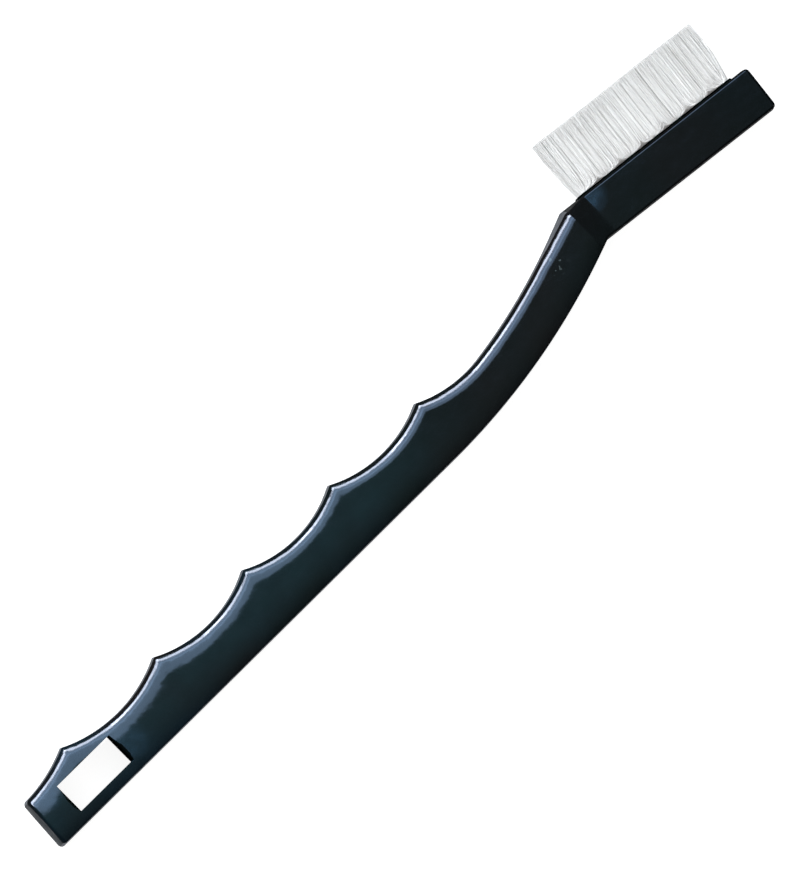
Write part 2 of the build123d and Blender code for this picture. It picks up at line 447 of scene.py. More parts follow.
def add_node(tree, kind, inputs, **modes):
    """Shader node with its modes set and its inputs fed, each by its name or place."""
    node = tree.nodes.new(kind)
    for key, mode in modes.items():
        setattr(node, key, mode)
    for key, value in inputs.items():
        feed(tree, node.inputs[key], value)
    return node


def new_material(name):
    """Material with an empty node tree."""
    material = bpy.data.materials.new(name)
    return material, empty_tree(material)


def add_surface(tree, inputs):
    """Gives a material its shader, with these inputs, and its output."""
    shader = add_node(tree, "ShaderNodeBsdfPrincipled", inputs)
    add_node(tree, "ShaderNodeOutputMaterial", {"Surface": shader.outputs["BSDF"]})


def noise_node(tree, where, scale, detail):
    """Noise texture on the given coordinates, in waves per metre."""
    inputs = {"Vector": where, "Scale": scale, "Detail": detail}
    return add_node(tree, "ShaderNodeTexNoise", inputs).outputs["Fac"]


def span(tree, value, low, high, to_low, to_high):
    """Maps a range of a value onto another, without going past its ends."""
    inputs = {"Value": value, "From Min": low, "From Max": high, "To Min": to_low, "To Max": to_high}
    return add_node(tree, "ShaderNodeMapRange", inputs).outputs["Result"]


def clouds(tree, where, grain, limits, least=0):
    """Noise that rises from its least value to one over part of its range."""
    return span(tree, noise_node(tree, where, *grain), *limits, least, 1)


def join_values(tree, operation, first, *others):
    """Result of one operation on two or more values, taken one after another."""
    for other in others:
        node = add_node(tree, "ShaderNodeMath", {0: first, 1: other}, operation=operation)
        first = node.outputs["Value"]
    return first


def product(tree, *values):
    """Product of two or more values."""
    return join_values(tree, "MULTIPLY", *values)


def mix_colours(tree, share, first, second):
    """Mixes two colours, each given as a socket or as numbers."""
    node = add_node(tree, "ShaderNodeMix", {"Factor": share}, data_type="RGBA")
    for key, tint in (("A", first), ("B", second)):
        feed(tree, [s for s in node.inputs if s.name == key and s.type == "RGBA"][0], tint)
    return [s for s in node.outputs if s.type == "RGBA"][0]


def object_coordinates(tree):
    """Coordinates in the object's own frame, which is the model's."""
    return add_node(tree, "ShaderNodeTexCoord", {}).outputs["Object"]


def part_of(tree, vector, axis):
    """One component of a vector."""
    return add_node(tree, "ShaderNodeSeparateXYZ", {"Vector": vector}).outputs[axis]


def spot(tree, where, centre, core, reach):
    """One at a place on the object, falling to nothing at a distance from it."""
    away = add_node(tree, "ShaderNodeVectorMath", {0: where, 1: centre}, operation="DISTANCE")
    return span(tree, away.outputs["Value"], core, reach, 1, 0)


def bump(tree, height, strength, distance, **under):
    """Normal bent by a height value, over another normal where one is given."""
    inputs = {"Height": height, "Strength": strength, "Distance": distance, **under}
    return add_node(tree, "ShaderNodeBump", inputs).outputs["Normal"]


def darker(tint, share):
    """A share of a colour."""
    return tuple(share * part for part in tint)


def plastic_tint(tree, where, finish, belly_sheen):
    """Near-black with a bluish painted sheen in patches towards the butt and away from the back, warmer in
    patches and black at the tip.
    """
    low, high = cad_box
    place = part_of(tree, where, "X")
    patches = clouds(tree, where, (1 / finish.patch_size, PATCH_DETAIL), PATCH_RANGE)
    # Painted sheen: bluish cloudy patches towards the butt, standing in for the room's soft reflection
    to_butt = span(tree, place, 0, low[0], LEAST_COOL_SHEEN, 1)
    tint = mix_colours(tree, product(tree, patches, to_butt), finish.body, finish.cool_sheen_patch)
    warm = clouds(tree, where, (WARM_SCALE_SHARE / finish.patch_size, WARM_DETAIL), WARM_RANGE)
    tint = mix_colours(tree, warm, tint, finish.warm_patch)
    # Painted sheen: lighter cool tone on the face away from the back, where the soft reflection lies
    near_back, off_back = (low[1] + height for height in BELLY_SHEEN_HEIGHTS)
    on_belly_sheen = product(
        tree,
        span(tree, part_of(tree, where, "Y"), near_back, off_back, 0, 1),
        span(tree, place, *BELLY_SHEEN_PLACES, belly_sheen, 0),
        clouds(tree, where, BELLY_SHEEN_CLOUDS, BELLY_SHEEN_RANGE, LEAST_BELLY_SHEEN),
    )
    tint = mix_colours(tree, on_belly_sheen, tint, finish.belly_sheen)
    to_tip = span(tree, place, HEAD_SHADE_START_SHARE * high[0], high[0], 0, HEAD_SHADE_STRENGTH)
    return mix_colours(tree, to_tip, tint, finish.head_shade)


def add_glint(tree, where, tint, shape, centre, start, painted_glint):
    """Tint with a ragged bluish painted highlight over it, which is cut off where its own face begins."""
    patch = span(tree, spot(tree, where, centre, shape.core, shape.reach), 0, 1, 0, shape.strength)
    beyond = span(tree, part_of(tree, where, "X"), start, start + GLINT_EDGE, 0, 1)
    ragged = clouds(tree, where, GLINT_CLOUDS, GLINT_RANGE, LEAST_GLINT)
    return mix_colours(tree, product(tree, patch, beyond, ragged), tint, painted_glint)


def plastic_material(name, finish, roughness, gloss, belly_sheen=0.0, glints=(), nicks=None):
    """Near-black plastic with a fine skin, soft warm patches and cool patches of painted sheen."""
    material, tree = new_material(name)
    where = object_coordinates(tree)
    tint = plastic_tint(tree, where, finish, belly_sheen)
    # Painted highlights: bluish reflections laid over the tint
    for shape, centre, start in glints:
        tint = add_glint(tree, where, tint, shape, centre, start, finish.painted_glint)
    if nicks:
        nicked = spot(tree, where, nicks, NICKS_CORE, NICKS_REACH)
        nicked = product(tree, nicked, clouds(tree, where, NICK_GRAIN, NICK_RANGE))
        tint = mix_colours(tree, nicked, tint, finish.nick)
    wear = noise_node(tree, where, *WEAR_GRAIN)
    least, most = (1 - WEAR_SHARE) * roughness, (1 + WEAR_SHARE) * roughness
    sinks = bump(tree, noise_node(tree, where, *SINK_WAVES), 1, finish.sink_depth)
    skin = noise_node(tree, where, *SKIN_GRAIN)
    add_surface(tree, {
        "Base Color": tint,
        "Specular IOR Level": gloss,
        "Specular Tint": finish.sheen,
        "Roughness": span(tree, wear, *GRAIN_RANGE, least, most),
        "Normal": bump(tree, skin, SKIN_STRENGTH, finish.skin_depth, Normal=sinks),
    })
    return material


def core_material(finish):
    """Dull plastic inside the holes, where the mould's pins had a plain machined skin."""
    material, tree = new_material("handle_core_finish")
    grain = noise_node(tree, object_coordinates(tree), *CORE_GRAIN)
    add_surface(tree, {
        "Base Color": mix_colours(tree, grain, darker(finish.body, CORE_DARK_SHARE), finish.body),
        "Specular IOR Level": 0,
        "Roughness": span(tree, grain, *GRAIN_RANGE, *CORE_ROUGHNESS),
    })
    return material


def nylon_material(sizes):
    """Pale translucent nylon, each filament a tone of its own, darkened by painted shade towards its cuts
    and given a painted glow.
    """
    material, tree = new_material("bristle_nylon_finish")
    shade = add_node(tree, "ShaderNodeAttribute", {}, attribute_name="shade").outputs["Fac"]
    add_surface(tree, {
        "Base Color": mix_colours(tree, shade, darker(sizes.nylon, DIM_NYLON_SHARE), sizes.nylon),
        "Roughness": 0.5,
        "Specular IOR Level": 0.2,
        "Subsurface Weight": 0.1,
        "Subsurface Radius": (1, 1, 1),
        "Subsurface Scale": 1 * MM,
        # Painted glow: the nylon's emission stands in for light passed from filament to filament
        "Emission Color": sizes.nylon,
        "Emission Strength": sizes.glow,
    })
    return material


def anchor_material(finish):
    """Drawn brass strip, with fine lines along its length and dull patches."""
    material, tree = new_material("anchor_metal_finish")
    inputs = {"Vector": object_coordinates(tree), "Scale": STRIP_STRETCH}
    stretched = add_node(tree, "ShaderNodeMapping", inputs).outputs["Vector"]
    lines = noise_node(tree, stretched, *STRIP_LINES)
    add_surface(tree, {
        "Base Color": mix_colours(tree, lines, darker(finish.metal, DULL_METAL_SHARE), finish.metal),
        "Metallic": 1,
        "Roughness": span(tree, lines, *GRAIN_RANGE, *METAL_ROUGHNESS),
    })
    return material


def link_object(name, data):
    """Puts a new object with this data into the scene."""
    made = bpy.data.objects.new(name, data)
    bpy.context.scene.collection.objects.link(made)
    return made


def object_from(name, mesh):
    """Puts a finished mesh into the scene as an object."""
    data = bpy.data.meshes.new(name)
    mesh.to_mesh(data)
    mesh.free()
    return link_object(name, data)


def direction(turn):
    """Unit vector in the drawing plane at an angle from the grip's length."""
    return Vector((math.cos(turn), math.sin(turn)))


def below(slope):
    """Unit vector in the drawing plane from an arc's centre to where the arc has this slope."""
    return Vector((math.sin(slope), -math.cos(slope)))


class Outline:
    """Finger side and back of the moulding, as heights over the grip's length."""

    def __init__(self, sizes):
        self.sizes = sizes
        self.arcs = []
        peaks = [
            Vector((place * sizes.grip_length, share * sizes.peak_height))
            for place, share in zip(PEAK_PLACE_SHARES, PEAK_HEIGHT_SHARES)
        ]
        rise = peaks[0].y - sizes.butt_height
        radius = (peaks[0].x ** 2 + rise**2) / (2 * rise)
        self.arcs.append((peaks[0].x, Vector((0, sizes.butt_height + radius)), radius))
        for left, right, share in zip(peaks, peaks[1:], SCALLOP_DEPTH_SHARES):
            sag = share * sizes.scallop_depth
            chord = right - left
            radius = (chord.length_squared / 4 + sag**2) / (2 * sag)
            normal = Vector((-chord.y, chord.x)).normalized()
            self.arcs.append((right.x, (left + right) / 2 + normal * (radius - sag), radius))
        dip_centre = peaks[-1] - sizes.dip_radius * below(-sizes.dip_fall)
        dip_end = dip_centre + sizes.dip_radius * below(sizes.dip_rise)
        self.arcs.append((dip_end.x, dip_centre, sizes.dip_radius))
        sweep_centre = dip_end - sizes.sweep_radius * below(sizes.dip_rise)
        self.sweep_end = sweep_centre + sizes.sweep_radius * below(sizes.sweep_rise)
        self.arcs.append((self.sweep_end.x, sweep_centre, sizes.sweep_radius))
        self.neck_corner = self.sweep_end + direction(sizes.sweep_rise) * sizes.neck_straight

        self.along = direction(-sizes.head_rake)
        self.up = direction(math.pi / 2 - sizes.head_rake)
        self.head_back = self.neck_corner - self.up * sizes.head_depth
        self.crease_1 = self.neck_corner.x + sizes.shoulder_from_corner
        self.crease_2 = self.crease_1 + sizes.shoulder_length
        shoulder_middle = (self.crease_1 + self.crease_2) / 2
        corner_place = (shoulder_middle - self.head_back.x) / self.along.x
        self.back_corner = self.head_back + self.along * corner_place
        self.back_radius = self.back_corner.y / (1 - math.cos(sizes.back_turn))
        self.back_start = self.back_corner.x - self.back_radius * math.sin(sizes.back_turn)
        self.tip = (self.crease_2 - self.neck_corner.x) / self.along.x + sizes.head_length

    def finger_side(self, x):
        """Height of the finger side, and then of the bristle face."""
        for end, centre, radius in self.arcs:
            if x <= end:
                return centre.y - math.sqrt(radius**2 - (x - centre.x) ** 2)
        if x <= self.neck_corner.x:
            return self.sweep_end.y + (x - self.sweep_end.x) * math.tan(self.sizes.sweep_rise)
        return self.neck_corner.y - (x - self.neck_corner.x) * math.tan(self.sizes.head_rake)

    def back(self, x):
        """Height of the back."""
        if x <= self.back_start:
            return 0.0
        if x <= self.back_corner.x:
            return self.back_radius - math.sqrt(self.back_radius**2 - (x - self.back_start) ** 2)
        return self.back_corner.y - (x - self.back_corner.x) * math.tan(self.sizes.head_rake)

    def stretch(self, side, x):
        """How much longer than square to its edge a line across the grip is, at this place."""
        slopes = (
            (side(x + SLOPE_STEP) - side(x)) / SLOPE_STEP,
            (side(x) - side(x - SLOPE_STEP)) / SLOPE_STEP,
        )
        steepness = sum(abs(slope) for slope in slopes) / 2
        return math.sqrt(1 + steepness**2)


class Round(NamedTuple):
    """Round across the moulding, from its slope at the edge to its slope inside."""

    outer: float
    inner: float
    width: float
    steps: int

    @property
    def radius(self):
        """Radius that turns from one slope to the other over the width."""
        return self.width / (math.sin(self.outer) - math.sin(self.inner))


class Station:
    """One cross-section of the moulding, from its finger side to its back."""

    def __init__(
        self, top, bottom, half, top_rounds=(), bottom_rounds=(), stretches=(1, 1), inset=0.0, lean=0.0
    ):
        across = (bottom - top).normalized()
        self.top = top + across * inset
        self.bottom = bottom - across * inset
        self.half = half
        self.rounds = (top_rounds, bottom_rounds)
        self.stretches = stretches
        self.leans = (lean, 0)

    def side_profile(self, sizes, rounds, lean):
        """Distance in from the edge and height over the parting line, from that line to the flat."""
        rise = math.tan(sizes.draft) + lean / self.half
        wall_turn = math.pi / 2 - math.atan(rise)
        drop = sum(part.radius * (math.cos(part.inner) - math.cos(part.outer)) for part in rounds)
        edge_slope = rounds[0].outer if rounds else 0
        edge_radius = sizes.edge_radius if rounds else sizes.head_edge
        centre_height = self.half - drop - edge_radius * math.cos(edge_slope)
        wall_top = centre_height + edge_radius * math.cos(wall_turn)
        centre_in = wall_top * rise + edge_radius * math.sin(wall_turn)
        lip = LIP_SHARE * sizes.groove
        profile = [(sizes.groove, 0), (lip * rise, lip), (wall_top * rise / 2, wall_top / 2)]
        edge_steps = PROFILE_STEPS - sum(part.steps for part in rounds)
        for step in range(edge_steps + 1):
            turn = wall_turn + (edge_slope - wall_turn) * step / edge_steps
            inward = centre_in - edge_radius * math.sin(turn)
            profile.append((inward, centre_height + edge_radius * math.cos(turn)))
        for part in rounds:
            inward, height = profile[-1]
            for step in range(1, part.steps + 1):
                turn = part.outer + (part.inner - part.outer) * step / part.steps
                profile.append((
                    inward + part.radius * (math.sin(part.outer) - math.sin(turn)),
                    height + part.radius * (math.cos(turn) - math.cos(part.outer)),
                ))
        return profile

    def ring(self, sizes):
        """Closed line of points round the moulding, upper half first."""
        across = (self.bottom - self.top).normalized()
        sides = []
        for edge, inwards, rounds, lean, stretch in zip(
            (self.top, self.bottom), (across, -across), self.rounds, self.leans, self.stretches
        ):
            profile = self.side_profile(sizes, rounds, lean)
            sides.append([(edge + inwards * inward * stretch, height) for inward, height in profile])
        front, rear = sides
        face = [
            (front[-1][0].lerp(rear[-1][0], step / FACE_STEPS), self.half) for step in range(1, FACE_STEPS)
        ]
        upper = front + face + rear[::-1]
        lower = rear[1:] + face[::-1] + front[:0:-1]
        points = [Vector((*place, height)) for place, height in upper]
        points += [Vector((*place, -height)) for place, height in lower]
        return points


def evenly(breaks, step):
    """Places from the first break to the last, no further apart than a step."""
    places = [breaks[0]]
    for start, end in zip(breaks, breaks[1:]):
        count = max(1, math.ceil((end - start) / step))
        places += [start + (end - start) * (index + 1) / count for index in range(count)]
    return places


def fall_of_round(radius, place):
    """How far a quarter round lies inside its corner, at a place along one of its sides."""
    short = max(0, radius - place)
    return radius - math.sqrt(radius**2 - short**2)


def quarter_turns(steps):
    """Even angles from nothing to a quarter turn."""
    return [math.pi / 2 * step / steps for step in range(steps + 1)]


def lean_of_neck(outline, sizes, x):
    """Extra lean of the wall, greatest at the neck's corner and gone at the second crease."""
    before = 1 - (outline.neck_corner.x - x) / sizes.neck_lean_length
    after = 1 - (x - outline.neck_corner.x) / (outline.crease_2 - outline.neck_corner.x)
    return sizes.neck_lean * max(0, min(before, after))


def grip_stations(outline, sizes, half):
    """Stations from the butt to the first crease."""
    butt_shift = sizes.butt_height * math.tan(sizes.butt_lean)
    end_round = max(sizes.butt_round, sizes.butt_corner)
    breaks = [end_round, BUTT_LEAN_REACH, outline.back_start, outline.neck_corner.x, outline.crease_1]
    breaks += [end for end, _, _ in outline.arcs]
    places = [end_round * (1 - math.cos(turn)) for turn in quarter_turns(BUTT_STEPS)[:-1]]
    stations = []
    for x in places + evenly(sorted(breaks), GRIP_SPACING):
        foot = x - butt_shift * max(0, 1 - x / BUTT_LEAN_REACH)
        top = Vector((x, outline.finger_side(x)))
        bottom = Vector((foot, outline.back(foot)))
        stretches = (outline.stretch(outline.finger_side, x), outline.stretch(outline.back, foot))
        drop = fall_of_round(sizes.butt_round, x)
        inset = fall_of_round(sizes.butt_corner, x)
        shelf = sizes.shelf_width * (1 - x / sizes.shelf_length)
        shelf += SHELF_GAIN_SHARE * (outline.finger_side(x) - sizes.butt_height)
        finger_rounds = (
            Round(sizes.crown_slope, sizes.shelf_slope, sizes.crown_width, CROWN_STEPS),
            Round(sizes.shelf_slope, 0, max(sizes.least_shelf, shelf), SHELF_STEPS),
        )
        back_rounds = (Round(sizes.back_slope, 0, sizes.back_width, CROWN_STEPS + SHELF_STEPS),)
        lean = lean_of_neck(outline, sizes, x)
        stations.append(
            Station(top, bottom, half - drop, finger_rounds, back_rounds, stretches, inset, lean)
        )
    return stations


def shoulder_stations(outline, sizes, half):
    """Stations on the sloping shoulder between the two creases."""
    head_half = sizes.head_thickness / 2
    corner = outline.back_corner.x
    breaks = [
        outline.crease_1 + CREASE_GAP, corner - CREASE_ROUND, corner + CREASE_ROUND,
        outline.crease_2 - CREASE_ROUND,
    ]
    stations = []
    for x in evenly(breaks, SHOULDER_SPACING):
        share = (x - outline.crease_1) / sizes.shoulder_length
        thickness = half + (head_half - half) * share
        places = [Vector((x, outline.finger_side(x))), Vector((x, outline.back(x)))]
        stations.append(Station(*places, thickness, lean=lean_of_neck(outline, sizes, x)))
    return stations


def head_stations(outline, sizes):
    """Stations from the second crease to the tip, turning square to the head."""
    half = sizes.head_thickness / 2
    start = outline.crease_2 + CREASE_ROUND
    top_start = (start - outline.neck_corner.x) / outline.along.x
    back_start = (start - outline.head_back.x) / outline.along.x
    corner_start = outline.tip - sizes.head_corner
    places = evenly([top_start, corner_start], HEAD_SPACING)
    places += [corner_start + sizes.head_corner * math.sin(turn) for turn in quarter_turns(TIP_STEPS)[1:]]
    stations = []
    for place in places:
        share = (place - top_start) / (outline.tip - top_start)
        back_place = back_start + (outline.tip - back_start) * share
        inset = fall_of_round(sizes.head_corner, outline.tip - place)
        drop = fall_of_round(sizes.tip_round, outline.tip - place)
        top = outline.neck_corner + outline.along * place
        bottom = outline.head_back + outline.along * back_place
        stations.append(Station(top, bottom, half - drop, inset=inset))
    return stations


def loft(name, rings):
    """Mesh object through closed rings of equal count, capped at both ends."""
    mesh = bmesh.new()
    lines = [[mesh.verts.new(point) for point in ring] for ring in rings]
    count = len(rings[0])
    for lower, upper in zip(lines, lines[1:]):
        for index in range(count):
            following = (index + 1) % count
            mesh.faces.new((lower[index], upper[index], upper[following], lower[following]))
    half = count // 2
    for line, outward in ((lines[0], 1), (lines[-1], -1)):
        mesh.faces.new(line[: half + 1][::outward])
        mesh.faces.new((line[half:] + line[:1])[::outward])
    bmesh.ops.recalc_face_normals(mesh, faces=mesh.faces)
    return object_from(name, mesh)


def frustum(mesh, place, foot_radius, head_radius, low, high):
    """Adds a closed round plug that stands on the head, between two levels."""
    rings = []
    for level, radius in ((low, foot_radius), (high, head_radius)):
        ring = []
        for step in range(PLUG_SIDES):
            turn = 2 * math.pi * step / PLUG_SIDES
            outwards = HEAD_ALONG * math.cos(turn) + HEAD_ACROSS * math.sin(turn)
            ring.append(mesh.verts.new(place + outwards * radius + HEAD_UP * level))
        rings.append(ring)
    foot, head = rings
    for step in range(PLUG_SIDES):
        following = (step + 1) % PLUG_SIDES
        mesh.faces.new((foot[step], foot[following], head[following], head[step]))
    mesh.faces.new(foot[::-1])
    mesh.faces.new(head)


def mouth_of(name, tufts):
    """Middle of a tuft hole's mouth, found from its anchor."""
    depth = tufts.hole_depth - tufts.anchor_lift - tufts.anchor_height / 2
    return middle_of(f"anchor_{name}") + HEAD_UP * depth


def round_plugs(name, tufts, foot_radius, head_radius, low, high, material):
    """Object with one round plug for every tuft hole."""
    mesh = bmesh.new()
    for hole in HOLE_NAMES:
        frustum(mesh, mouth_of(hole, tufts), foot_radius, head_radius, low, high)
    bmesh.ops.recalc_face_normals(mesh, faces=mesh.faces)
    plugs = object_from(name, mesh)
    plugs.data.materials.append(material)
    return plugs


def hang_core(sizes, origin, half, wall_material, mouth_material):
    """Core of the slot through the butt, flared by a small polished round at the near mouth."""
    middle = origin + Vector(
        (sizes.hang_from_butt + sizes.hang_length / 2, sizes.hang_from_back + sizes.hang_height / 2, 0)
    )
    mouth = sizes.hang_round
    levels = [(half + CUT_OVERRUN, mouth + CUT_OVERRUN), (half, mouth + MOUTH_OVERRUN)]
    for turn in quarter_turns(MOUTH_STEPS)[1:]:
        levels.append((half - mouth * (1 - math.cos(turn)), mouth * (1 - math.sin(turn))))
    foot_growth = (2 * half + CUT_OVERRUN - mouth) * math.tan(sizes.hang_draft)
    levels.append((-half - CUT_OVERRUN, foot_growth))
    rings = []
    for height, growth in levels:
        reach = Vector((sizes.hang_length / 2 + growth, sizes.hang_height / 2 + growth))
        corners = ((1, 1), (-1, 1), (-1, -1), (1, -1))
        rings.append([middle + Vector((x * reach.x, y * reach.y, height)) for x, y in corners])
    core = loft("hang_core", rings)
    core.data.materials.append(wall_material)
    core.data.materials.append(mouth_material)
    least, most = MOUTH_SLOPES
    for face in core.data.polygons:
        sideways = abs(face.normal.y) > abs(face.normal.x)
        if sideways and least < math.asin(abs(face.normal.z)) < most:
            face.material_index = 1
    return core


def combine(target, tool, operation):
    """Adds or cuts one closed mesh into another, and drops the tool."""
    change = target.modifiers.new(operation.lower(), "BOOLEAN")
    change.operation = operation
    change.solver = "EXACT"
    change.material_mode = "TRANSFER"
    change.object = tool
    graph = bpy.context.evaluated_depsgraph_get()
    result = bpy.data.meshes.new_from_object(target.evaluated_get(graph))
    target.modifiers.clear()
    target.data = result
    bpy.data.objects.remove(tool)


class CREVICEBRUSH_OT_handle(bpy.types.Operator):
    """Mould the handle: grip, neck, head, rims, tuft holes and hang hole"""

    bl_idname = "crevice_brush.handle"
    bl_label = "Mould Handle"

    def execute(self, context):
        sizes = settings().sizes
        finish = settings().finish
        low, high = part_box("handle")
        half = (high.z - low.z) / 2
        butt_shift = sizes.butt_height * math.tan(sizes.butt_lean)
        origin = Vector((low.x + butt_shift, low.y, (low.z + high.z) / 2))
        outline = Outline(sizes)
        stations = (
            grip_stations(outline, sizes, half)
            + shoulder_stations(outline, sizes, half)
            + head_stations(outline, sizes)
        )
        rings = [self.lean_ends(station.ring(sizes), outline, sizes) for station in stations]
        handle = loft("moulded_handle", [[origin + point for point in ring] for ring in rings])
        nicks = origin + Vector((*outline.sweep_end, half)) - Vector((*NICKS_FROM_SWEEP, 0))
        glints = self.glints(sizes, origin, half, outline)
        polished = plastic_material(
            "handle_plastic_finish", finish, finish.roughness, finish.gloss, BELLY_SHEEN_STRENGTH, glints, nicks
        )
        handle.data.materials.append(polished)
        for name, gloss in (
            ("handle_wall_finish", finish.wall_gloss),
            ("handle_edge_finish", finish.edge_gloss),
            ("handle_end_finish", finish.end_gloss),
        ):
            handle.data.materials.append(plastic_material(name, finish, finish.wall_roughness, gloss))
        self.finish_faces(handle, origin, outline, sizes)
        matte = core_material(finish)
        self.plant_holes(handle, sizes, settings().tufts, matte)
        combine(handle, hang_core(sizes, origin, half, matte, polished), "DIFFERENCE")
        handle.data.shade_smooth()
        handle.data.set_sharp_from_angle(angle=SHARP_ANGLE)
        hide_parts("handle")
        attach(handle, "root")
        return {"FINISHED"}

    def glints(self, sizes, origin, half, outline):
        """Bluish painted highlights of the near face, each with its centre and the place where its own face
        begins.
        """
        past_butt = BUTT_GLINT.along_share * sizes.hang_length
        butt = (past_butt, BUTT_GLINT.across_share * sizes.butt_height, half)
        past_slot = sizes.hang_from_butt + SLOT_GLINT.along_share * sizes.hang_length
        slot = (past_slot, SLOT_GLINT.across_share * sizes.butt_height, half)
        corner = outline.crease_2 + HEAD_GLINT.along_share * sizes.head_length
        under_face = outline.finger_side(corner) - HEAD_GLINT.across_share * sizes.head_depth
        head = (corner, under_face, sizes.head_thickness / 2)
        return (
            (BUTT_GLINT, origin + Vector(butt), origin.x),
            (SLOT_GLINT, origin + Vector(slot), origin.x),
            (HEAD_GLINT, origin + Vector(head), origin.x + outline.crease_2),
        )

    def lean_ends(self, ring, outline, sizes):
        """Slopes the butt's end and the tip by the mould's draft."""
        along = Vector((*outline.along, 0))
        tip = Vector((*outline.neck_corner, 0)) + along * outline.tip
        leaned = []
        for point in ring:
            from_butt = max(0, 1 - max(0, point.x) / END_DRAFT_REACH) * math.tan(sizes.butt_draft)
            from_tip = max(0, 1 - (tip - point).dot(along) / END_DRAFT_REACH) * math.tan(sizes.draft)
            leaned.append(point + (Vector((from_butt, 0, 0)) - along * from_tip) * abs(point.z))
        return leaned

    def finish_faces(self, handle, origin, outline, sizes):
        """Leaves the polish on the flats and the crown, and gives the rest its duller finishes."""
        wall, edge, end = 1, 2, 3
        for face in handle.data.polygons:
            slope = math.acos(min(1, abs(face.normal.z)))
            place = face.center.x - origin.x
            if place < outline.crease_1:
                limit = sizes.polish_slope
            elif place < outline.crease_2:
                limit = sizes.shoulder_polish_slope
            else:
                limit = sizes.head_polish_slope
            if place < outline.crease_1 and slope > WALL_SLOPE:
                face.material_index = end if face.normal.x < -END_FACING else wall
            elif slope > limit:
                face.material_index = edge

    def plant_holes(self, handle, sizes, tufts, material):
        """Raises a rim round every tuft's place and bores its blind hole."""
        radius = tufts.hole_diameter / 2
        mouth = radius + sizes.rim_wall
        foot = mouth + sizes.rim_wall
        rims = round_plugs("rims", tufts, foot, mouth, -RIM_BITE, sizes.rim_height, material)
        combine(handle, rims, "UNION")
        over = sizes.rim_height + RIM_BITE
        holes = round_plugs("holes", tufts, radius, radius, -tufts.hole_depth, over, material)
        combine(handle, holes, "DIFFERENCE")


def tube_along(mesh, layer, path, radius, sides, shades, side_hint):
    """Adds a closed tube of even thickness along a path of points, with a shade for each point."""
    rings = []
    for index, (point, shade) in enumerate(zip(path, shades)):
        before = path[max(index - 1, 0)]
        after = path[min(index + 1, len(path) - 1)]
        along = (after - before).normalized()
        side = (side_hint - along * side_hint.dot(along)).normalized()
        other = along.cross(side)
        ring = []
        for step in range(sides):
            turn = 2 * math.pi * step / sides
            vertex = mesh.verts.new(point + (side * math.cos(turn) + other * math.sin(turn)) * radius)
            vertex[layer] = shade
            ring.append(vertex)
        rings.append(ring)
    for lower, upper in zip(rings, rings[1:]):
        for step in range(sides):
            following = (step + 1) % sides
            face = mesh.faces.new((lower[step], lower[following], upper[following], upper[step]))
            face.smooth = True
    mesh.faces.new(rings[0][::-1])
    mesh.faces.new(rings[-1])


